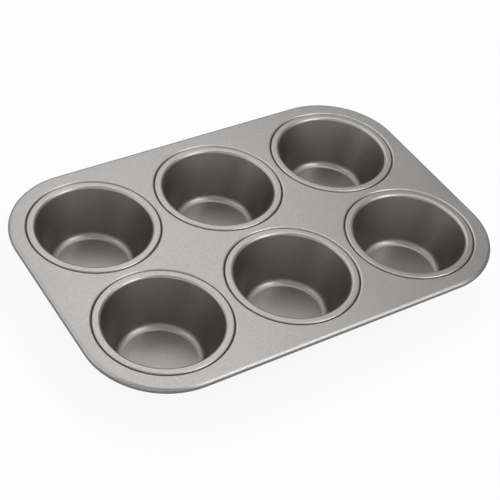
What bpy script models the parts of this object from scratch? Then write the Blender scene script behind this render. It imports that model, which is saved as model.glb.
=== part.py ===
"""A six-cup muffin pan in coated sheet steel.

The tray is one pressed sheet. Its edge is rolled round a steel wire, and each cup has a seat in it:
the sheet turns down into a narrow gutter, up again into a collar, and out into a lip. Each cup is a
sheet pressing of its own. Its ring lies over the lip, and the ring's edge is curled down and under
the lip, which locks the cup in. The pan stands on the floors of its cups.

Run it with blender --background --python part.py, or from Blender's text editor. Lengths are in
metres, the origin is on the ground under the middle of the pan, and +X runs along its long side.
"""

import math

import bmesh
import bpy
from mathutils import Vector

# The cups, by the rows and columns they stand in
CUP_ROWS = ("front", "back")
CUP_COLUMNS = ("left", "middle", "right")

# Inside of a cup: the radii are where the wall's straight line meets the tray's top and the floor
CUP_TOP_RADIUS = 0.0454
CUP_BOTTOM_RADIUS = 0.0330
CUP_DEPTH = 0.0423
FLOOR_ROUND = 0.0060
CUP_SHEET = 0.0005

# Ring of a cup: the underside of the bend at its mouth, and the flat between that bend and the curl
MOUTH_BEND = 0.0020
RING_LAND = 0.0030

# Seat in the tray: the insides of its two bends, the open groove round the ring, and the room
# between the collar and the end of the cup's hem
TRAY_SHEET = 0.0006
SHOULDER_BEND = 0.0010
LIP_BEND = 0.0005
GROOVE_GAP = 0.0005
HEM_CLEARANCE = 0.0014

# Flat lands of the tray: between two seats, and from a seat to the rolled rim
WEB_LAND = 0.0040
END_LAND = 0.0081
SIDE_LAND = 0.0093
CORNER_LAND = 0.0069

# Rolled rim: the wire inside it, and the room between the roll's end and the tray's underside
WIRE_DIAMETER = 0.0035
ROLL_END_GAP = 0.0007

# Room left wherever one piece lies against another
ASSEMBLY_GAP = 0.0003

# How finely the round shapes are divided
TURN_STEPS = 32
FLOOR_STEPS = 3
MOUTH_STEPS = 2
CURL_STEPS = 3
SHOULDER_STEPS = 2
LIP_STEPS = 1
CORNER_STEPS = 10
ROLL_SIDES = 12
WIRE_STEPS = 2
MERGE_DISTANCE = 0.00001
SMOOTH_ANGLE = math.radians(50)

# Cup, worked out from the sizes above. Heights are measured from the tray's top face.
WALL_LEAN = math.atan2(CUP_TOP_RADIUS - CUP_BOTTOM_RADIUS, CUP_DEPTH)
TANGENT_SHARE = (1 - math.sin(WALL_LEAN)) / math.cos(WALL_LEAN)
FLOOR_FLAT_RADIUS = CUP_BOTTOM_RADIUS - FLOOR_ROUND * TANGENT_SHARE
MOUTH_ROUND = MOUTH_BEND + CUP_SHEET
RING_INNER_RADIUS = CUP_TOP_RADIUS + MOUTH_ROUND * TANGENT_SHARE
CURL_CENTRE_RADIUS = RING_INNER_RADIUS + RING_LAND
CURL_ROUND = (2 * CUP_SHEET + TRAY_SHEET + 2 * ASSEMBLY_GAP) / 2
TRAY_TOP = CUP_DEPTH + CUP_SHEET

# Seat, worked out from the cup that it carries
SHOULDER_ROUND = SHOULDER_BEND + TRAY_SHEET
GUTTER_RADIUS = CURL_CENTRE_RADIUS + CURL_ROUND + GROOVE_GAP
SEAT_RADIUS = GUTTER_RADIUS + SHOULDER_ROUND
GUTTER_DEPTH = 2 * CURL_ROUND + ASSEMBLY_GAP
LIP_OUTER_BEND = LIP_BEND + TRAY_SHEET
LIP_CENTRE_RADIUS = RING_INNER_RADIUS + max(0, LIP_OUTER_BEND + ASSEMBLY_GAP - MOUTH_BEND)
LIP_CENTRE_DEPTH = CUP_SHEET + ASSEMBLY_GAP + LIP_OUTER_BEND
LIP_END_RADIUS = CURL_CENTRE_RADIUS - ASSEMBLY_GAP
COLLAR_RADIUS = LIP_CENTRE_RADIUS - LIP_BEND
HEM_END_RADIUS = COLLAR_RADIUS + HEM_CLEARANCE

# Tray, worked out from its seats. The corners are centred beside the outermost cups.
CUP_PITCH = 2 * SEAT_RADIUS + WEB_LAND
CORNER_RADIUS = SEAT_RADIUS + CORNER_LAND
CORNER_X = (len(CUP_COLUMNS) - 1) / 2 * CUP_PITCH + END_LAND - CORNER_LAND
CORNER_Y = (len(CUP_ROWS) - 1) / 2 * CUP_PITCH + SIDE_LAND - CORNER_LAND
WIRE_RADIUS = WIRE_DIAMETER / 2
ROLL_ROUND = (WIRE_RADIUS + ASSEMBLY_GAP + TRAY_SHEET) / math.cos(math.pi / ROLL_SIDES)
ROLL_TURN = 1.5 * math.pi + math.asin((ROLL_ROUND - TRAY_SHEET - ROLL_END_GAP) / ROLL_ROUND)


def clear_scene():
    """Removes what the open file holds."""
    for old in list(bpy.data.objects):
        bpy.data.objects.remove(old)


def new_collection(name):
    """A collection of that name, linked to the scene."""
    collection = bpy.data.collections.new(name)
    bpy.context.scene.collection.children.link(collection)
    return collection


def new_material(name, colour, metallic, roughness):
    """A Principled material of one colour."""
    material = bpy.data.materials.new(name)
    material.use_nodes = True
    shader = material.node_tree.nodes["Principled BSDF"]
    shader.inputs["Base Color"].default_value = (*colour, 1)
    shader.inputs["Metallic"].default_value = metallic
    shader.inputs["Roughness"].default_value = roughness
    return material


def add_piece(name, data, material, collection, origin, place=(0, 0, 0)):
    """An object for that mesh or curve, dressed, linked and parented to the pan's origin."""
    piece = bpy.data.objects.new(name, data)
    if not data.materials:
        data.materials.append(material)
    piece.location = place
    piece.parent = origin
    collection.objects.link(piece)
    return piece


def add_sheet(piece, thickness):
    """Gives a piece's open surface its thickness, on the side that its faces turn away from."""
    sheet = piece.modifiers.new("sheet", "SOLIDIFY")
    sheet.thickness = thickness
    sheet.offset = -1
    sheet.use_even_offset = True
    sheet.use_quality_normals = True


def arc(centre, radius, start, end, steps):
    """Points of an arc, both ends included. Angles are in radians, from the outward direction."""
    turns = [start + (end - start) * step / steps for step in range(steps + 1)]
    return [(centre[0] + radius * math.cos(a), centre[1] + radius * math.sin(a)) for a in turns]


def cup_places():
    """(name, x, y) of each cup, row by row."""
    middle_column = (len(CUP_COLUMNS) - 1) / 2
    middle_row = (len(CUP_ROWS) - 1) / 2
    return [
        (f"cup_{row}_{column}", (i - middle_column) * CUP_PITCH, (j - middle_row) * CUP_PITCH)
        for j, row in enumerate(CUP_ROWS)
        for i, column in enumerate(CUP_COLUMNS)
    ]


def cup_profile():
    """(radius, height) along a cup's inner face, from the middle of its floor to its hem's end."""
    floor_centre = (FLOOR_FLAT_RADIUS, FLOOR_ROUND - CUP_DEPTH)
    mouth_centre = (RING_INNER_RADIUS, -MOUTH_ROUND)
    curl_centre = (CURL_CENTRE_RADIUS, -CURL_ROUND)
    quarter = math.pi / 2
    return [
        (0, -CUP_DEPTH),
        *arc(floor_centre, FLOOR_ROUND, -quarter, -WALL_LEAN, FLOOR_STEPS),
        *arc(mouth_centre, MOUTH_ROUND, math.pi - WALL_LEAN, quarter, MOUTH_STEPS),
        *arc(curl_centre, CURL_ROUND, quarter, -quarter, CURL_STEPS),
        (HEM_END_RADIUS, -2 * CURL_ROUND),
    ]


def seat_profile():
    """(radius, height) along a seat's upper face, from the flat of the tray in to the lip's end."""
    shoulder_centre = (SEAT_RADIUS, -SHOULDER_ROUND)
    lip_centre = (LIP_CENTRE_RADIUS, -LIP_CENTRE_DEPTH)
    quarter = math.pi / 2
    return [
        *arc(shoulder_centre, SHOULDER_ROUND, quarter, math.pi, SHOULDER_STEPS),
        (GUTTER_RADIUS, -GUTTER_DEPTH),
        (COLLAR_RADIUS, -GUTTER_DEPTH),
        *arc(lip_centre, LIP_BEND, math.pi, quarter, LIP_STEPS),
        (LIP_END_RADIUS, LIP_BEND - LIP_CENTRE_DEPTH),
    ]


def roll_profile():
    """(distance outwards, height) round the rolled rim, from the edge of the tray's flat."""
    steps = math.ceil(ROLL_TURN / (2 * math.pi / ROLL_SIDES))
    return arc((0, -ROLL_ROUND), ROLL_ROUND, math.pi / 2, math.pi / 2 - ROLL_TURN, steps)


def rim_points(distance, height):
    """Points round the tray, at that distance outside the edge of its flat."""
    points = []
    for corner, (side_x, side_y) in enumerate([(1, 1), (-1, 1), (-1, -1), (1, -1)]):
        centre = (side_x * CORNER_X, side_y * CORNER_Y)
        start = corner * math.pi / 2
        bend = arc(centre, CORNER_RADIUS + distance, start, start + math.pi / 2, CORNER_STEPS)
        points += [Vector((px, py, height)) for px, py in bend]
    return points


def circle_points(x, y, radius, height):
    """Points round an upright axis at x, y."""
    circle = arc((x, y), radius, 0, 2 * math.pi, TURN_STEPS)[:-1]
    return [Vector((px, py, height)) for px, py in circle]


def add_loop(mesh, points):
    """Adds a closed loop of edges through those points, and returns the edges."""
    corners = [mesh.verts.new(point) for point in points]
    return [mesh.edges.new((a, b)) for a, b in zip(corners, corners[1:] + corners[:1])]


def extrude_loop(mesh, edges, placed, *places):
    """Extrudes a loop of edges once, moves each new point with placed(point, *places), and returns
    the new edges."""
    made = bmesh.ops.extrude_edge_only(mesh, edges=edges)["geom"]
    points = {item for item in made if isinstance(item, bmesh.types.BMVert)}
    for point in points:
        point.co = placed(point.co, *places)
    edges = [item for item in made if isinstance(item, bmesh.types.BMEdge)]
    return [edge for edge in edges if points.issuperset(edge.verts)]


def from_corner(point, distance, height):
    """The point moved to that distance outside the tray's flat, straight out from its corner."""
    corner = Vector((math.copysign(CORNER_X, point.x), math.copysign(CORNER_Y, point.y), 0))
    outwards = Vector((point.x - corner.x, point.y - corner.y, 0)).normalized()
    return corner + outwards * (CORNER_RADIUS + distance) + Vector((0, 0, height))


def from_axis(point, x, y, radius, height):
    """The point moved to that radius and height round an upright axis at x, y."""
    outwards = Vector((point.x - x, point.y - y, 0)).normalized()
    return Vector((x, y, height)) + outwards * radius


def tray_mesh():
    """The tray's upper face: a flat with six holes, whose edges are drawn into the rim and seats."""
    mesh = bmesh.new()
    rim = add_loop(mesh, rim_points(0, 0))
    seats = [
        (x, y, add_loop(mesh, circle_points(x, y, SEAT_RADIUS, 0))) for _, x, y in cup_places()
    ]
    bmesh.ops.triangle_fill(mesh, edges=mesh.edges[:], use_beauty=True)
    flat = mesh.faces[:]

    for distance, height in roll_profile()[1:]:
        rim = extrude_loop(mesh, rim, from_corner, distance, height)
    for x, y, edges in seats:
        for radius, height in seat_profile()[1:]:
            edges = extrude_loop(mesh, edges, from_axis, x, y, radius, height)

    bmesh.ops.recalc_face_normals(mesh, faces=mesh.faces)
    if flat[0].normal.z < 0:
        bmesh.ops.reverse_faces(mesh, faces=mesh.faces)
    data = bpy.data.meshes.new("tray_frame")
    mesh.to_mesh(data)
    mesh.free()
    data.shade_smooth()
    data.set_sharp_from_angle(angle=SMOOTH_ANGLE)
    return data


def make_tray(coat, collection, origin):
    """The tray, with its rolled rim and its seats."""
    tray = add_piece("tray_frame", tray_mesh(), coat, collection, origin, (0, 0, TRAY_TOP))
    add_sheet(tray, TRAY_SHEET)


def make_wire(steel, collection, origin):
    """The wire inside the rolled rim, bent to one closed loop."""
    wire = bpy.data.curves.new("rim_wire", "CURVE")
    wire.dimensions = "3D"
    wire.bevel_depth = WIRE_RADIUS
    wire.bevel_resolution = WIRE_STEPS
    points = rim_points(0, -ROLL_ROUND)
    line = wire.splines.new("POLY")
    line.points.add(len(points) - 1)
    for place, point in zip(line.points, points):
        place.co = (*point, 1)
    line.use_cyclic_u = True
    add_piece("rim_wire", wire, steel, collection, origin, (0, 0, TRAY_TOP))


def make_cups(coat, collection, origin):
    """The cups: one turned profile, stood in every seat."""
    profile = [Vector((radius, 0, height)) for radius, height in cup_profile()]
    data = bpy.data.meshes.new("cup")
    data.from_pydata(profile, [(i, i + 1) for i in range(len(profile) - 1)], [])
    for name, x, y in cup_places():
        cup = add_piece(name, data, coat, collection, origin, (x, y, TRAY_TOP))
        turn = cup.modifiers.new("turn", "SCREW")
        turn.steps = turn.render_steps = TURN_STEPS
        turn.use_merge_vertices = True
        turn.merge_threshold = MERGE_DISTANCE
        turn.use_smooth_shade = True
        add_sheet(cup, CUP_SHEET)


def main():
    """Builds the pan."""
    clear_scene()
    pan = new_collection("muffin_pan")
    origin = bpy.data.objects.new("pan_origin", None)
    pan.objects.link(origin)
    tray_coat = new_material("tray_nonstick_coat", (0.36, 0.35, 0.34), 0.55, 0.42)
    cup_coat = new_material("cup_nonstick_coat", (0.33, 0.32, 0.31), 0.55, 0.42)
    wire_steel = new_material("wire_bright_steel", (0.52, 0.52, 0.53), 1.0, 0.35)
    make_tray(tray_coat, pan, origin)
    make_wire(wire_steel, pan, origin)
    make_cups(cup_coat, pan, origin)


main()
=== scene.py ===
"""A six-cup muffin pan in satin grey non-stick coat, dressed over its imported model.

Every piece but the wire is a sheet pressing, worked out from the line of one of its faces: the other
face lies a sheet's thickness away, the free end is rounded, and the section is turned round a cup's
axis or carried round the edge of the tray. Lengths are in metres, and angles in radians, but for the
azimuths and elevations of what stands round the pan, which are in degrees.
"""

import logging
import math
from dataclasses import dataclass
from enum import Enum
from typing import Sequence

import bmesh
import bpy
import numpy as np
from mathutils import Matrix, Vector


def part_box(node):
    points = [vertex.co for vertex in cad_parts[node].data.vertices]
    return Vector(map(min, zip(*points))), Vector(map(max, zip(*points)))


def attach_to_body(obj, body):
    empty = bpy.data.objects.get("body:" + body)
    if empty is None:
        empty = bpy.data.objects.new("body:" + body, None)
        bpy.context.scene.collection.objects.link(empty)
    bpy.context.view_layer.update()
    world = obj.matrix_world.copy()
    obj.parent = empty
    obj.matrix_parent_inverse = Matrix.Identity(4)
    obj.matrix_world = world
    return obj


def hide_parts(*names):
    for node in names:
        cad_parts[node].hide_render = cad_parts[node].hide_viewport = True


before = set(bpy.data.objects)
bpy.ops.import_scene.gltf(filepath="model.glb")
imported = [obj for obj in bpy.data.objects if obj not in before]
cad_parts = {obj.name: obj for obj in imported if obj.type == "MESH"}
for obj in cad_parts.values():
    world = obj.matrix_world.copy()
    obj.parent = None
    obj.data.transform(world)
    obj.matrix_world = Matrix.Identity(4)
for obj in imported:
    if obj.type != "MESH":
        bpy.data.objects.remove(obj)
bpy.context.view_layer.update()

LOG = logging.getLogger("muffin_pan")
BODY = "root"
QUARTER = math.pi / 2
WHITE = (1.0, 1.0, 1.0, 1.0)

# Points that lie nearer than this are one point.
MERGE_DISTANCE = 1e-6
# Sums that differ by less than this are alike, and so are places and angles to these decimals.
ROUNDING = 1e-9
PLACE_DECIMALS = 6
ANGLE_DECIMALS = 12
# How far from the ends of a flat the points stand that keep its shading flat.
SUPPORT = 0.0003
# A bend of this radius or less is rubbed most.
TIGHT_BEND = 0.0014
# The "around" attribute counts its lengths in decimetres.
DECIMETRES = 10

Colour = tuple[float, float, float]
Tint = Colour | bpy.types.NodeSocket


class Slot(Enum):
    """The record's material slots."""

    TRAY_COAT = "tray_coat"
    CUP_COAT = "cup_coat"
    WIRE_STEEL = "wire_steel"


class Value:
    """A number in a material's nodes. Sums on it add their Math nodes."""

    def __init__(self, graph: "Graph", socket: bpy.types.NodeSocket) -> None:
        """Wraps an output socket of that graph."""
        self.graph = graph
        self.socket = socket

    def math(self, operation: str, first: "float | Value", second: "float | Value") -> "Value":
        """Adds a Math node.

        Args:
            operation: what it does, such as "ADD".
            first: its first number.
            second: its second number.

        Returns:
            The node's result.
        """
        sockets = {"Value": first, "Value_001": second}
        made = self.graph.node("ShaderNodeMath", {"operation": operation}, sockets)
        return Value(self.graph, made.outputs["Value"])

    def __add__(self, other: "float | Value") -> "Value":
        """The sum with another."""
        return self.math("ADD", self, other)

    def __radd__(self, other: float) -> "Value":
        """The sum with a number on the left."""
        return self.math("ADD", other, self)

    def __sub__(self, other: "float | Value") -> "Value":
        """The difference from another."""
        return self.math("SUBTRACT", self, other)

    def __rsub__(self, other: float) -> "Value":
        """A number less this."""
        return self.math("SUBTRACT", other, self)

    def __mul__(self, other: "float | Value") -> "Value":
        """The product with another."""
        return self.math("MULTIPLY", self, other)

    def __rmul__(self, other: float) -> "Value":
        """The product with a number on the left."""
        return self.math("MULTIPLY", other, self)

    def __rpow__(self, other: float) -> "Value":
        """A number to the power of this."""
        return self.math("POWER", other, self)


class Graph:
    """The nodes of one material or world."""

    def __init__(self, tree: bpy.types.NodeTree) -> None:
        """Starts on that tree, which is emptied."""
        self.tree = tree
        tree.nodes.clear()

    def node(
        self,
        kind: str,
        settings: dict[str, object] | None = None,
        sockets: dict[str, object] | None = None,
    ) -> bpy.types.Node:
        """Adds a node.

        Args:
            kind: its type, such as "ShaderNodeTexNoise".
            settings: its own properties, which are set first.
            sockets: a number, a colour, a Value or a socket for each input, by identifier.

        Returns:
            The new node.
        """
        made = self.tree.nodes.new(kind)
        for name, value in (settings or {}).items():
            setattr(made, name, value)
        inputs = {entry.identifier: entry for entry in made.inputs}
        for name, value in (sockets or {}).items():
            if isinstance(value, Value):
                value = value.socket
            if isinstance(value, bpy.types.NodeSocket):
                self.tree.links.new(value, inputs[name])
            else:
                inputs[name].default_value = value
        return made

    def attribute(self, name: str) -> bpy.types.Node:
        """Adds the node that reads an attribute of the mesh."""
        return self.node("ShaderNodeAttribute", {"attribute_name": name})

    def noise(self, place: bpy.types.NodeSocket, grain: float, detail: float) -> Value:
        """Adds a noise over those coordinates.

        Args:
            place: the coordinates.
            grain: the size of its grains, in the coordinates' own unit.
            detail: how many finer layers it has.

        Returns:
            The noise, about 0 to 1.
        """
        sockets = {"Vector": place, "Scale": 1 / grain, "Detail": detail}
        made = self.node("ShaderNodeTexNoise", {"noise_dimensions": "3D"}, sockets)
        return Value(self, made.outputs["Fac"])

    def blend(self, share: Value, low: Tint, high: Tint) -> bpy.types.NodeSocket:
        """Adds a colour between two others.

        Args:
            share: 0 for the first colour, 1 for the second.
            low: the first colour, or its socket.
            high: the second colour, or its socket.

        Returns:
            The colour's socket.
        """
        low, high = ((*tint, 1) if isinstance(tint, tuple) else tint for tint in (low, high))
        sockets = {"Factor_Float": share, "A_Color": low, "B_Color": high}
        made = self.node("ShaderNodeMix", {"data_type": "RGBA"}, sockets)
        return next(out for out in made.outputs if out.identifier == "Result_Color")

    def metal(self, sockets: dict[str, object]) -> None:
        """Adds a metal surface with those sockets, and ends the material in it."""
        shader = self.node("ShaderNodeBsdfPrincipled", None, {"Metallic": 1.0, **sockets})
        self.node("ShaderNodeOutputMaterial", None, {"Surface": shader.outputs["BSDF"]})


def new_material(name: str) -> tuple[bpy.types.Material, Graph]:
    """Makes a material that has no nodes yet.

    Args:
        name: the material's name.

    Returns:
        The material and its graph.
    """
    made = bpy.data.materials.new(name)
    made.use_nodes = True
    return made, Graph(made.node_tree)


def shaded(colour: Colour, share: float) -> Colour:
    """The colour made lighter or darker by that share of itself."""
    return tuple(part * (1 + share) for part in colour)


@dataclass(frozen=True)
class SatinCoat:
    """The baked non-stick coat: satin grey, with fine flakes and a faint orange peel.

    flake, cloud, streak, peel and rub are the sizes of what they name, the streaks' one being a
    size on the "around" attribute. flake_share, cloud_share and rub_share are how far each moves
    the colour, as a part of it, and streak_share is how strong the streaks are beside the clouds.
    top is the height of the pan's flat. Below it, the colour darkens with depth as painted shade, and
    the last two fields are how fast it darkens and the dark brown it darkens to.
    """

    name: str
    colour: Colour
    roughness: float
    top: float
    flake: float = 0.0006
    flake_share: float = 0.19
    flake_contrast: float = 2.4
    flake_gloss: float = 0.5
    cloud: float = 0.045
    cloud_share: float = 0.04
    streak: float = 0.06
    streak_share: float = 0.0
    roughness_swing: float = 0.10
    peel: float = 0.0009
    peel_height: float = 0.000006
    rub: float = 0.006
    rub_share: float = 0.12
    rub_gloss: float = 0.08
    # Painted shade: how fast the colour darkens with depth below the top, and the dark brown it
    # darkens to.
    depth_shade_rate: float = 6.4
    depth_shade_colour: Colour = (0.075, 0.050, 0.025)

    def material(self) -> bpy.types.Material:
        """Makes the coat's material.

        The colour swings round its mean with small flakes and wide clouds, both noises on the
        piece's own coordinates. Where streak_share isn't 0, streaks that run up a cup's wall are
        added, a noise on the "around" attribute, which is long up the wall and short round it.
        The tight bends, told by the "bend" attribute, are rubbed lighter and smoother in patches.
        Down in the cups the colour is painted darker with depth, as shade.

        Returns:
            The material.
        """
        made, graph = new_material(self.name)
        place = graph.node("ShaderNodeTexCoord").outputs["Object"]
        flakes = graph.noise(place, self.flake, detail=3.0) - 0.5
        tone = graph.noise(place, self.cloud, detail=2.0) - 0.5
        if self.streak_share:
            around = graph.attribute("around").outputs["Vector"]
            streaks = graph.noise(around, self.streak, detail=3.0) - 0.5
            tone = tone + streaks * self.streak_share
        bend = Value(graph, graph.attribute("bend").outputs["Fac"])
        rubbed = bend * graph.noise(place, self.rub, detail=2.0)
        swing = flakes * self.flake_contrast + tone * (self.cloud_share / self.flake_share)
        swing = swing + rubbed * (self.rub_share / self.flake_share)
        low, high = shaded(self.colour, -self.flake_share), shaded(self.colour, self.flake_share)
        colour = graph.blend(swing + 0.5, low, high)
        height = graph.node("ShaderNodeSeparateXYZ", None, {"Vector": place}).outputs["Z"]
        depth = self.top - Value(graph, height)
        rough = self.roughness + (tone - flakes * self.flake_gloss) * self.roughness_swing
        peel = graph.noise(place, self.peel, detail=1.0)
        sockets = {"Height": peel, "Distance": self.peel_height, "Strength": 1.0}
        bump = graph.node("ShaderNodeBump", None, sockets)
        graph.metal(
            {
                # Painted shade: the colour darkens with depth, most down in the cups.
                "Base Color": graph.blend(depth * self.depth_shade_rate, colour, self.depth_shade_colour),
                "Roughness": rough - rubbed * self.rub_gloss,
                "Normal": bump.outputs["Normal"],
            }
        )
        return made


@dataclass(frozen=True)
class DrawnSteel:
    """Bright drawn steel wire, with fine lines along it."""

    name: str
    colour: Colour
    roughness: float
    line: float = 0.03
    line_share: float = 0.12

    def material(self) -> bpy.types.Material:
        """Makes the wire's material: a noise on "around" draws lines, short across and long along.

        Returns:
            The material.
        """
        made, graph = new_material(self.name)
        lines = graph.noise(graph.attribute("around").outputs["Vector"], self.line, detail=2.0)
        low, high = shaded(self.colour, -self.line_share), shaded(self.colour, self.line_share)
        rough = self.roughness + (lines - 0.5) * self.line_share
        graph.metal({"Base Color": graph.blend(lines, low, high), "Roughness": rough})
        return made


@dataclass
class Surface:
    """Points and the faces on them, with each point's place on its sheet and how bent it is."""

    points: np.ndarray
    faces: list[list[int]]
    around: np.ndarray
    bend: np.ndarray

    @staticmethod
    def joined(parts: Sequence["Surface"]) -> "Surface":
        """Joins surfaces.

        Args:
            parts: the surfaces.

        Returns:
            One surface that holds them all.
        """
        starts = np.cumsum([0] + [len(part.points) for part in parts])
        faces = []
        for part, start in zip(parts, starts):
            faces += [[corner + int(start) for corner in face] for face in part.faces]
        points = np.vstack([part.points for part in parts])
        around = np.vstack([part.around for part in parts])
        return Surface(points, faces, around, np.concatenate([part.bend for part in parts]))

    def piece(self, name: str, material: bpy.types.Material) -> bpy.types.Object:
        """Makes the surface a closed, smooth mesh object at the origin.

        Args:
            name: the object's name.
            material: what it is made of.

        Returns:
            The object, linked to the scene.
        """
        data = bpy.data.meshes.new(name)
        data.from_pydata(self.points.tolist(), [], self.faces)
        layer = data.attributes.new("around", "FLOAT_VECTOR", "POINT")
        layer.data.foreach_set("vector", self.around.astype(np.float32).ravel())
        layer = data.attributes.new("bend", "FLOAT", "POINT")
        layer.data.foreach_set("value", self.bend.astype(np.float32))
        mesh = bmesh.new()
        mesh.from_mesh(data)
        bmesh.ops.remove_doubles(mesh, verts=mesh.verts, dist=MERGE_DISTANCE)
        bmesh.ops.recalc_face_normals(mesh, faces=mesh.faces)
        open_edges = sum(len(edge.link_faces) != 2 for edge in mesh.edges)
        mesh.to_mesh(data)
        mesh.free()
        data.shade_smooth()
        data.materials.append(material)
        made = bpy.data.objects.new(name, data)
        bpy.context.scene.collection.objects.link(made)
        LOG.info("%s: %d faces, %d open edges", name, len(data.polygons), open_edges)
        return made


def arc(centre: Sequence[float], radius: float, start: float, end: float, steps: int) -> np.ndarray:
    """Points of an arc, centre + radius (cos a, sin a), with a running evenly from start to end.

    Args:
        centre: its centre.
        radius: its radius.
        start: the first angle.
        end: the last angle.
        steps: how many chords it has.

    Returns:
        The points, one a row.
    """
    a = np.linspace(start, end, steps + 1)
    return np.column_stack([centre[0] + radius * np.cos(a), centre[1] + radius * np.sin(a)])


def line_of(*runs: np.ndarray) -> np.ndarray:
    """Joins arcs and points to one line, with a point close beside both ends of each straight.

    The added points keep the shading of the flats flat. A straight is a gap between two runs that
    is wider than four times SUPPORT.

    Args:
        runs: points, one a row.

    Returns:
        The line's points, one a row.
    """
    pieces = [runs[0]]
    for before, after in zip(runs, runs[1:]):
        step = after[0] - before[-1]
        length = np.linalg.norm(step)
        if length > 4 * SUPPORT:
            along = step / length * SUPPORT
            pieces.append(np.array([before[-1] + along, after[0] - along]))
        pieces.append(after)
    points = np.vstack(pieces)
    keep = np.linalg.norm(np.diff(points, axis=0), axis=1) > MERGE_DISTANCE
    return points[np.append(True, keep)]


def sheet_section(face: np.ndarray, sheet: float, steps: int = 5) -> np.ndarray:
    """Section of a sheet: one face, the round of its free end, and the other face back again.

    The other face is p + sheet (m + n) / (1 + m . n), where m and n are the normals, to the left,
    of the two runs that meet at p. The round is half a circle on the two corners of the end.

    Args:
        face: the line of one face, which starts level and ends at the free end.
        sheet: the sheet's thickness, above 0 where the sheet lies left of the line.
        steps: how many chords the round has.

    Returns:
        The section's points, one a row.
    """
    runs = np.diff(face, axis=0)
    runs /= np.linalg.norm(runs, axis=1)[:, None]
    normals = np.column_stack([-runs[:, 1], runs[:, 0]])
    first = np.vstack([normals[:1], normals])
    second = np.vstack([normals, normals[-1:]])
    other = face + sheet * (first + second) / (1 + (first * second).sum(1))[:, None]
    other[0] = face[0] + [0, sheet * np.sign(runs[0, 0])]
    middle = (face[-1] + other[-1]) / 2
    corner = face[-1] - middle
    a = np.linspace(0, math.pi, steps + 1)[1:-1, None]
    bow = middle + np.cos(a) * corner + np.sin(a) * runs[-1] * abs(sheet) / 2
    return np.vstack([face, bow, other[::-1]])


def bends(section: np.ndarray) -> np.ndarray:
    """How tightly a section bends: TIGHT_BEND over the radius, and 1 at most.

    The radius at a point is half the joint length of the two runs that meet there, over the turn
    between them.

    Args:
        section: its points, one a row.

    Returns:
        The bend at each point, 0 on the flats and at both ends.
    """
    runs = np.diff(section, axis=0)
    length = np.linalg.norm(runs, axis=1)
    way = np.arctan2(runs[:, 1], runs[:, 0])
    turn = np.abs((np.diff(way) + math.pi) % (2 * math.pi) - math.pi)
    share = turn * 2 * TIGHT_BEND / (length[1:] + length[:-1])
    return np.clip(np.concatenate([[0], share, [0]]), 0, 1)


def quads(rows: int, columns: int) -> list[list[int]]:
    """Faces of a grid of points that is stored row by row, each row's last point meeting its first.

    Args:
        rows: how many rows it has.
        columns: how many points a row has.

    Returns:
        Four corners for each face.
    """
    i = np.arange(rows - 1)[:, None]
    j = np.arange(columns)[None, :]
    after = (j + 1) % columns
    corners = [i * columns + j, i * columns + after, (i + 1) * columns + after, (i + 1) * columns + j]
    return np.stack(np.broadcast_arrays(*corners), -1).reshape(-1, 4).tolist()


def turned(section: np.ndarray, centre: Sequence[float], turns: np.ndarray) -> Surface:
    """A section turned round an upright axis: (x + r cos a, y + r sin a, top + z).

    Args:
        section: (r, z) along it. Ends at radius 0 are merged to one point later.
        centre: x and y of the axis, and the height that z is measured from.
        turns: the angles a.

    Returns:
        The surface. Its "around" is (cos a, sin a, length along the section in decimetres).
    """
    r, z = section[:, :1], section[:, 1:]
    x = centre[0] + r * np.cos(turns)
    y = centre[1] + r * np.sin(turns)
    points = np.stack([x, y, np.broadcast_to(centre[2] + z, x.shape)], -1).reshape(-1, 3)
    steps = np.linalg.norm(np.diff(section, axis=0), axis=1)
    length = np.append(0, np.cumsum(steps))[:, None] * DECIMETRES
    spread = np.broadcast_arrays(np.cos(turns), np.sin(turns), length)
    around = np.stack(spread, -1).reshape(-1, 3)
    bend = np.repeat(bends(section), len(turns))
    return Surface(points, quads(len(section), len(turns)), around, bend)


def attach(piece: bpy.types.Object, node: str) -> None:
    """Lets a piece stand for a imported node, on the pan's one body.

    Args:
        piece: the new piece.
        node: the node that it replaces.
    """
    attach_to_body(piece, BODY)
    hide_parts(node)


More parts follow.
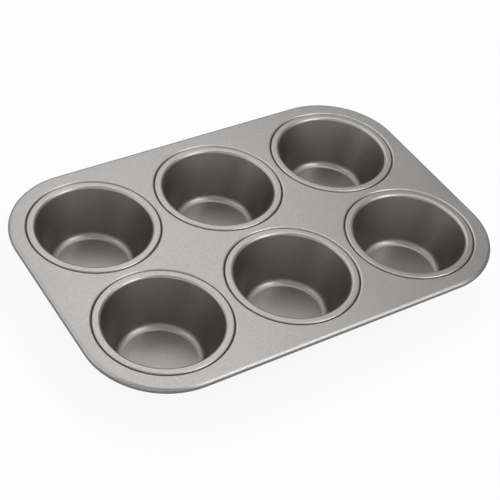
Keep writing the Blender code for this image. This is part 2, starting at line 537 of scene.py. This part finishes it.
@dataclass(frozen=True)
class CupForm:
    """Sizes of a cup, its radii measured from its axis and its depths from the tray's top.

    top_radius and bottom_radius are where the wall's straight meets the top and the floor. A land
    is a flat's width, and gap is the room between the ring, the lip and the hem.
    """

    top_radius: float = 0.0454
    bottom_radius: float = 0.0330
    depth: float = 0.0423
    floor_round: float = 0.0060
    sheet: float = 0.0005
    mouth_bend: float = 0.0020
    ring_land: float = 0.0030
    lip_sheet: float = 0.0006
    gap: float = 0.0003
    hem_end: float = 0.0482
    floor_steps: int = 16
    mouth_steps: int = 12
    curl_steps: int = 18

    @property
    def lean(self) -> float:
        """How far the wall leans out from upright."""
        return math.atan2(self.top_radius - self.bottom_radius, self.depth)

    @property
    def tangent_share(self) -> float:
        """From a bend's centre to where its two straights meet, as a share of its radius."""
        return (1 - math.sin(self.lean)) / math.cos(self.lean)

    @property
    def mouth_round(self) -> float:
        """Radius of the bend at the mouth, on its upper face."""
        return self.mouth_bend + self.sheet

    @property
    def ring_inner(self) -> float:
        """Where the ring's flat starts."""
        return self.top_radius + self.mouth_round * self.tangent_share

    @property
    def curl_centre(self) -> float:
        """Where the ring's flat ends and its curl starts."""
        return self.ring_inner + self.ring_land

    @property
    def curl_round(self) -> float:
        """Radius of the curl, which holds the tray's lip with room above and below it."""
        return (2 * self.sheet + self.lip_sheet + 2 * self.gap) / 2

    def section(self) -> np.ndarray:
        """Section of the cup, from the middle of its floor round the hem and back underneath.

        Returns:
            (r, z) of its points, one a row.
        """
        floor_flat = self.bottom_radius - self.floor_round * self.tangent_share
        floor_centre = (floor_flat, self.floor_round - self.depth)
        mouth_centre = (self.ring_inner, -self.mouth_round)
        curl_centre = (self.curl_centre, -self.curl_round)
        face = line_of(
            np.array([[0, -self.depth]]),
            arc(floor_centre, self.floor_round, -QUARTER, -self.lean, self.floor_steps),
            arc(mouth_centre, self.mouth_round, math.pi - self.lean, QUARTER, self.mouth_steps),
            arc(curl_centre, self.curl_round, QUARTER, -QUARTER, self.curl_steps),
            np.array([[self.hem_end, -2 * self.curl_round]]),
        )
        return sheet_section(face, -self.sheet)


@dataclass
class CupSet:
    """The cups: one turned pressing, stood in every seat of the tray."""

    coat: SatinCoat
    nodes: Sequence[str]
    form: CupForm = CupForm()
    divisions: int = 160

    def places(self) -> list[tuple[str, float, float, float]]:
        """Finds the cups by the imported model's boxes.

        Returns:
            (node, x, y, top) of each cup.
        """
        found = []
        for node in self.nodes:
            low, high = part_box(node)
            found.append((node, (low.x + high.x) / 2, (low.y + high.y) / 2, high.z))
        return found

    def build(self) -> None:
        """Makes and dresses the cups."""
        material = self.coat.material()
        turns = np.linspace(0, 2 * math.pi, self.divisions, endpoint=False)
        section = self.form.section()
        for node, x, y, top in self.places():
            cup = turned(section, (x, y, top), turns).piece(f"pressed_{node}", material)
            attach(cup, node)


@dataclass
class Tray:
    """The pressed tray: flat top, a seat for every cup, and an edge rolled round a wire.

    end_land, side_land and corner_land are the widths of the flat from a seat's bend to the roll,
    at the short sides, the long sides and the corners. groove_gap is the dark groove between a
    cup's ring and its seat, and roll_end_gap the slit that the roll leaves under the flat.
    """

    coat: SatinCoat
    cups: CupSet
    shoulder_bend: float = 0.0010
    lip_bend: float = 0.0005
    gutter_bend: float = 0.0005
    groove_gap: float = 0.0005
    end_land: float = 0.0081
    side_land: float = 0.0093
    corner_land: float = 0.0069
    roll_round: float = 0.00271
    roll_end_gap: float = 0.0007
    shoulder_steps: int = 10
    bend_steps: int = 4
    roll_steps: int = 30
    divisions: int = 160

    def __post_init__(self) -> None:
        """Works out the seats and the outline from the cups."""
        places = self.cups.places()
        form = self.cups.form
        self.top = places[0][3]
        self.centres = np.array([[x, y] for _, x, y, _ in places])
        self.reach = np.abs(self.centres).max(0)
        columns = np.unique(self.centres[:, 0].round(PLACE_DECIMALS))
        self.pitch = float(columns[1] - columns[0])
        self.sheet = form.lip_sheet
        self.shoulder_round = self.shoulder_bend + self.sheet
        self.gutter_radius = form.curl_centre + form.curl_round + self.groove_gap
        self.seat_radius = self.gutter_radius + self.shoulder_round
        self.corner_radius = self.seat_radius + self.corner_land
        self.corner = self.reach + np.array([self.end_land, self.side_land]) - self.corner_land
        self.edge = self.corner + self.corner_radius

    def seat_section(self) -> np.ndarray:
        """Section of a seat, from the top of the flat in to the lip and back underneath.

        Returns:
            (r, z) of its points, one a row.
        """
        form = self.cups.form
        depth = 2 * form.curl_round + form.gap
        outer_bend = self.lip_bend + self.sheet
        lip_radius = form.ring_inner + max(0, outer_bend + form.gap - form.mouth_bend)
        lip_depth = form.sheet + form.gap + outer_bend
        bend, steps = self.gutter_bend, self.bend_steps
        shoulder = (self.seat_radius, -self.shoulder_round)
        outer = (self.gutter_radius - bend, bend - depth)
        inner = (lip_radius - self.lip_bend + bend, bend - depth)
        face = line_of(
            arc(shoulder, self.shoulder_round, QUARTER, 2 * QUARTER, self.shoulder_steps),
            arc(outer, bend, 0, -QUARTER, steps),
            arc(inner, bend, -QUARTER, -2 * QUARTER, steps),
            arc((lip_radius, -lip_depth), self.lip_bend, 2 * QUARTER, QUARTER, steps),
            np.array([[form.curl_centre - form.gap, self.lip_bend - lip_depth]]),
        )
        return sheet_section(face, self.sheet)

    def roll_section(self) -> np.ndarray:
        """Section of the rolled edge, from the top of the flat round the wire and back inside.

        Returns:
            (d, z) of its points, one a row, d running out from the edge of the flat.
        """
        room = self.roll_round - self.sheet - self.roll_end_gap
        turn = 3 * QUARTER + math.asin(room / self.roll_round)
        middle = (0, -self.roll_round)
        face = arc(middle, self.roll_round, QUARTER, QUARTER - turn, self.roll_steps)
        return sheet_section(face, -self.sheet)

    def angles(self) -> np.ndarray:
        """Angles round a seat: an even set, and those that point at the corners of its cell.

        Returns:
            The angles, in order.
        """
        half = self.pitch / 2
        side = math.atan2(self.edge[1] - self.reach[1], half)
        end = math.atan2(half, self.edge[0] - self.reach[0])
        even = np.linspace(0, 2 * math.pi, self.divisions, endpoint=False)
        extra = [sign * a + turn for a in (side, end) for turn in (0, math.pi) for sign in (1, -1)]
        return np.unique(np.append(even, np.mod(extra, 2 * math.pi)).round(ANGLE_DECIMALS))

    def cell_edge(self, centre: np.ndarray, turns: np.ndarray) -> tuple[np.ndarray, np.ndarray]:
        """Where rays from a cup's axis leave the flat that belongs to it.

        A ray stops at the halfway line to the next cup or at the tray's edge, whichever is nearer.
        Past both corner lines it stops on the corner's arc, where |c + t u - q| is the radius.

        Args:
            centre: x and y of the axis.
            turns: the rays' angles.

        Returns:
            The distance along each ray, and whether it stops at the tray's edge.
        """
        ray = np.column_stack([np.cos(turns), np.sin(turns)])
        ray[np.abs(ray) < ROUNDING] = ROUNDING
        halfway = centre + np.sign(ray) * self.pitch / 2
        outer = np.abs(halfway) > self.reach + MERGE_DISTANCE
        limit = np.where(outer, np.sign(ray) * self.edge, halfway)
        travel = (limit - centre) / ray
        distance = travel.min(1)
        hit = centre + distance[:, None] * ray
        at_edge = (outer & (travel <= distance[:, None] + ROUNDING)).any(1)
        past = (np.abs(hit) > self.corner).all(1) & outer.all(1)
        offset = centre - np.sign(hit) * self.corner
        along = (offset * ray).sum(1)
        square = np.maximum(along**2 - (offset**2).sum(1) + self.corner_radius**2, 0)
        return np.where(past, np.sqrt(square) - along, distance), at_edge | past

    def outline(self) -> np.ndarray:
        """Points round the edge of the flat, where the rays of the cells meet it.

        Returns:
            The points in order round it, one a row.
        """
        turns = self.angles()
        ray = np.column_stack([np.cos(turns), np.sin(turns)])
        found = []
        for centre in self.centres:
            distance, at_edge = self.cell_edge(centre, turns)
            found.append((centre + distance[:, None] * ray)[at_edge])
        points = np.vstack(found)
        points = points[np.argsort(np.arctan2(points[:, 1], points[:, 0]))]
        step = np.linalg.norm(points - np.roll(points, 1, 0), axis=1)
        return points[step > MERGE_DISTANCE]

    def outwards(self, points: np.ndarray) -> np.ndarray:
        """Level unit vectors straight out of the outline, away from the nearest corner line."""
        away = points - np.clip(points, -self.corner, self.corner)
        return away / np.linalg.norm(away, axis=1)[:, None]

    def carried(self, section: np.ndarray, closed: bool) -> Surface:
        """A section carried round the outline: (p + d o, top + z), o pointing straight out at p.

        Args:
            section: (d, z) along it.
            closed: whether its last point meets its first.

        Returns:
            The surface. Its "around" is (cos b, sin b, decimetres round the outline), b running
            once round the section.
        """
        path = self.outline()
        out = self.outwards(path)
        if closed:
            section = np.vstack([section, section[:1]])
        flat = path[None] + section[:, :1, None] * out[None]
        height = np.broadcast_to(self.top + section[:, 1][:, None, None], flat[..., :1].shape)
        points = np.concatenate([flat, height], -1).reshape(-1, 3)
        steps = np.linalg.norm(np.diff(path, axis=0), axis=1)
        length = np.append(0, np.cumsum(steps)) * DECIMETRES
        b = np.linspace(0, 2 * math.pi, len(section))[:, None]
        spread = np.broadcast_arrays(np.cos(b), np.sin(b), length[None])
        around = np.stack(spread, -1).reshape(-1, 3)
        bend = np.repeat(bends(section), len(path))
        return Surface(points, quads(len(section), len(path)), around, bend)

    def flat(self, centre: np.ndarray, height: float) -> Surface:
        """The flat round one cup: straight rays from its seat to its cell's edge.

        A ray has a point close beside each end, so that the bends there don't shade the flat.

        Args:
            centre: x and y of the cup's axis.
            height: height of the flat.

        Returns:
            The surface.
        """
        turns = self.angles()
        distance, _ = self.cell_edge(centre, turns)
        start = np.full(len(turns), self.seat_radius)
        rows = np.vstack([start, start + SUPPORT, distance - SUPPORT, distance])
        x = centre[0] + rows * np.cos(turns)
        y = centre[1] + rows * np.sin(turns)
        points = np.stack([x, y, np.full_like(x, height)], -1).reshape(-1, 3)
        faces = quads(len(rows), len(turns))
        return Surface(points, faces, np.zeros_like(points), np.zeros(len(points)))

    def build(self) -> None:
        """Makes and dresses the tray."""
        turns = self.angles()
        seat = self.seat_section()
        parts = [self.carried(self.roll_section(), closed=False)]
        for centre in self.centres:
            parts.append(turned(seat, (*centre, self.top), turns))
            parts.append(self.flat(centre, self.top))
            parts.append(self.flat(centre, self.top - self.sheet))
        tray = Surface.joined(parts).piece("pressed_tray", self.coat.material())
        attach(tray, "tray_frame")


@dataclass
class RimWire:
    """The closed loop of wire inside the rolled edge."""

    steel: DrawnSteel
    tray: Tray
    radius: float = 0.00175
    sides: int = 20

    def build(self) -> None:
        """Makes and dresses the wire: a circle carried round the outline at the roll's middle."""
        circle = arc((0, -self.tray.roll_round), self.radius, 0, 2 * math.pi, self.sides)[:-1]
        wire = self.tray.carried(circle, closed=True)
        wire = wire.piece("bright_rim_wire", self.steel.material())
        attach(wire, "rim_wire")


def towards(azimuth: float, elevation: float) -> Vector:
    """Unit vector from the pan to a place round it, 0, 0 being level and straight in front."""
    a, e = math.radians(azimuth), math.radians(elevation)
    return Vector((math.sin(a) * math.cos(e), -math.cos(a) * math.cos(e), math.sin(e)))


@dataclass(frozen=True)
class SoftBox:
    """A square lamp that faces the pan."""

    name: str
    azimuth: float
    elevation: float
    size: float
    radiance: float
    distance: float = 1.5

    def build(self) -> None:
        """Hangs the lamp. Its power is radiance x area x pi, so its face has that brightness."""
        data = bpy.data.lights.new(self.name, "AREA")
        data.shape = "SQUARE"
        data.size = self.size
        data.energy = self.radiance * self.size**2 * math.pi
        lamp = bpy.data.objects.new(self.name, data)
        way = towards(self.azimuth, self.elevation)
        lamp.location = way * self.distance
        lamp.rotation_euler = way.to_track_quat("Z", "Y").to_euler()
        lamp.visible_camera = False
        bpy.context.scene.collection.objects.link(lamp)


@dataclass(frozen=True)
class Glow:
    """A wide soft patch of bright wall or ceiling."""

    azimuth: float
    elevation: float
    radiance: float
    narrowness: float = 8.0

    def strength(self, graph: Graph, way: bpy.types.NodeSocket) -> Value:
        """Its share of the world's light: radiance x e^(narrowness (d . c - 1)).

        Args:
            graph: the world's nodes.
            way: the direction d; c is the direction of the patch's middle.

        Returns:
            The radiance from there.
        """
        middle = tuple(towards(self.azimuth, self.elevation))
        sockets = {"Vector": way, "Vector_001": middle}
        dot = graph.node("ShaderNodeVectorMath", {"operation": "DOT_PRODUCT"}, sockets)
        nearness = Value(graph, dot.outputs["Value"])
        return self.radiance * math.e ** ((nearness - 1) * self.narrowness)


@dataclass(frozen=True)
class Studio:
    """White table, and the soft light of a pale room and a few lamps.

    seen_white is how much of the table's and the room's brightness is plain white to the camera,
    and mirrored_white and haze are how much of it is to the metal, in the table and the room.
    """

    table_size: float = 40.0
    table_white: float = 0.90
    table_grey: float = 0.40
    seen_white: float = 0.90
    mirrored_white: float = 0.05
    haze: float = 0.05
    ambient: float = 0.24
    glows: Sequence[Glow] = (
        Glow(230, 15, 0.62, narrowness=4.0),
        Glow(190, 68, 0.45),
        Glow(30, 25, 0.55),
        Glow(315, 25, 0.65),
    )
    lamps: Sequence[SoftBox] = (
        SoftBox("back_box", 151, 45.5, 0.6, 1.18),
        SoftBox("top_box", 133, 69, 0.6, 1.35),
        SoftBox("back_left_box", 185, 42, 1.0, 0.50),
        SoftBox("back_right_box", 120, 30, 0.8, 0.20),
        SoftBox("left_box", 240, 30, 0.8, 0.60),
        SoftBox("left_high_box", 258, 50, 0.5, 1.3),
        SoftBox("right_high_box", 70, 64, 0.8, 1.0),
        SoftBox("right_box", 31, 51, 0.6, 3.0),
        SoftBox("right_low_box", 30, 28, 0.8, 1.1),
    )

    @staticmethod
    def rays(graph: Graph) -> tuple[Value, Value]:
        """Tells what looks at a surface or at the room.

        Args:
            graph: the nodes that ask.

        Returns:
            1 where it is the camera, and 1 where it is metal or glass.
        """
        path = graph.node("ShaderNodeLightPath").outputs
        gloss = Value(graph, path["Is Glossy Ray"]) + Value(graph, path["Is Transmission Ray"])
        return Value(graph, path["Is Camera Ray"]), gloss

    def table_top(self) -> bpy.types.Material:
        """Makes the table's material.

        It is a matt surface, part of whose brightness is its own: most of it where the camera sees
        it, little where metal mirrors it. The rest is lit, and keeps the pan's shadow. It is white
        to the camera and grey to the pan.

        Returns:
            The material.
        """
        made, graph = new_material("table_white")
        camera, gloss = self.rays(graph)
        share = camera * self.seen_white + gloss * self.mirrored_white
        colour = graph.blend(camera, (self.table_grey,) * 3, (self.table_white,) * 3)
        matt = graph.node("ShaderNodeBsdfDiffuse", None, {"Color": colour})
        own = graph.node("ShaderNodeEmission", None, {"Color": WHITE, "Strength": 1.0})
        sockets = {"Fac": share, "Shader": matt.outputs[0], "Shader_001": own.outputs[0]}
        mixed = graph.node("ShaderNodeMixShader", None, sockets)
        graph.node("ShaderNodeOutputMaterial", None, {"Surface": mixed.outputs[0]})
        return made

    def table(self) -> None:
        """Lays the white table under the pan."""
        half = self.table_size / 2
        corners = [(-half, -half, 0), (half, -half, 0), (half, half, 0), (-half, half, 0)]
        data = bpy.data.meshes.new("table")
        data.from_pydata(corners, [], [(0, 1, 2, 3)])
        data.materials.append(self.table_top())
        table = bpy.data.objects.new("table", data)
        bpy.context.scene.collection.objects.link(table)

    def world(self) -> None:
        """Sets the room's light: even and in glows, and white where the camera looks past the table.

        What metal mirrors has a little of that white in it too.
        """
        world = bpy.data.worlds.new("studio")
        bpy.context.scene.world = world
        world.use_nodes = True
        graph = Graph(world.node_tree)
        way = graph.node("ShaderNodeTexCoord").outputs["Generated"]
        glow = self.ambient + sum(patch.strength(graph, way) for patch in self.glows)
        camera, gloss = self.rays(graph)
        share = camera * self.seen_white + gloss * self.haze
        sockets = {"Color": WHITE, "Strength": glow + share * (1 - glow)}
        sky = graph.node("ShaderNodeBackground", None, sockets)
        graph.node("ShaderNodeOutputWorld", None, {"Surface": sky.outputs[0]})

    def build(self) -> None:
        """Sets up table, world and lamps, and plain colours."""
        self.table()
        self.world()
        for lamp in self.lamps:
            lamp.build()
        bpy.context.scene.view_settings.view_transform = "Standard"


@dataclass(frozen=True)
class View:
    """The photograph's camera: where it aims on the tray's top, and from where.

    roll is how far it is tilted to one side, in degrees, and lens and sensor are in millimetres.
    """

    aim: tuple[float, float] = (-0.0157, -0.0191)
    azimuth: float = -37.16
    elevation: float = 42.77
    roll: float = 8.39
    distance: float = 0.9887
    nearest: float = 0.05
    lens: float = 92.93
    sensor: float = 36.0

    def build(self, top: float) -> None:
        """Places the camera.

        Args:
            top: height of the tray's top, which it aims at.
        """
        back = towards(self.azimuth, self.elevation)
        level = Vector((0, 0, 1)).cross(back).normalized()
        upright = back.cross(level)
        tilt = math.radians(self.roll)
        across = level * math.cos(tilt) + upright * math.sin(tilt)
        up = upright * math.cos(tilt) - level * math.sin(tilt)
        place = Vector((*self.aim, top)) + back * self.distance
        data = bpy.data.cameras.new("camera")
        data.lens = self.lens
        data.sensor_width = self.sensor
        data.clip_start = self.nearest
        camera = bpy.data.objects.new("camera", data)
        turned_to = Matrix((across, up, back)).transposed().to_4x4()
        camera.matrix_world = Matrix.Translation(place) @ turned_to
        bpy.context.scene.collection.objects.link(camera)
        bpy.context.scene.camera = camera


def main() -> None:
    """Builds the pan and its studio."""
    logging.basicConfig(level=logging.INFO, format="%(message)s")
    nodes = sorted(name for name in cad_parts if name.startswith("cup_"))
    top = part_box(nodes[0])[1].z
    cup_coat = SatinCoat("cup_coat", (0.391, 0.378, 0.369), 0.35, top, streak_share=0.25)
    tray_coat = SatinCoat("tray_coat", (0.393, 0.382, 0.374), 0.37, top)
    cups = CupSet(cup_coat, nodes)
    tray = Tray(tray_coat, cups)
    wire = RimWire(DrawnSteel("wire_steel", (0.55, 0.55, 0.56), 0.3), tray)
    View().build(top)
    tray.build()
    wire.build()
    cups.build()
    Studio().build()


if __name__ == "__main__":
    main()
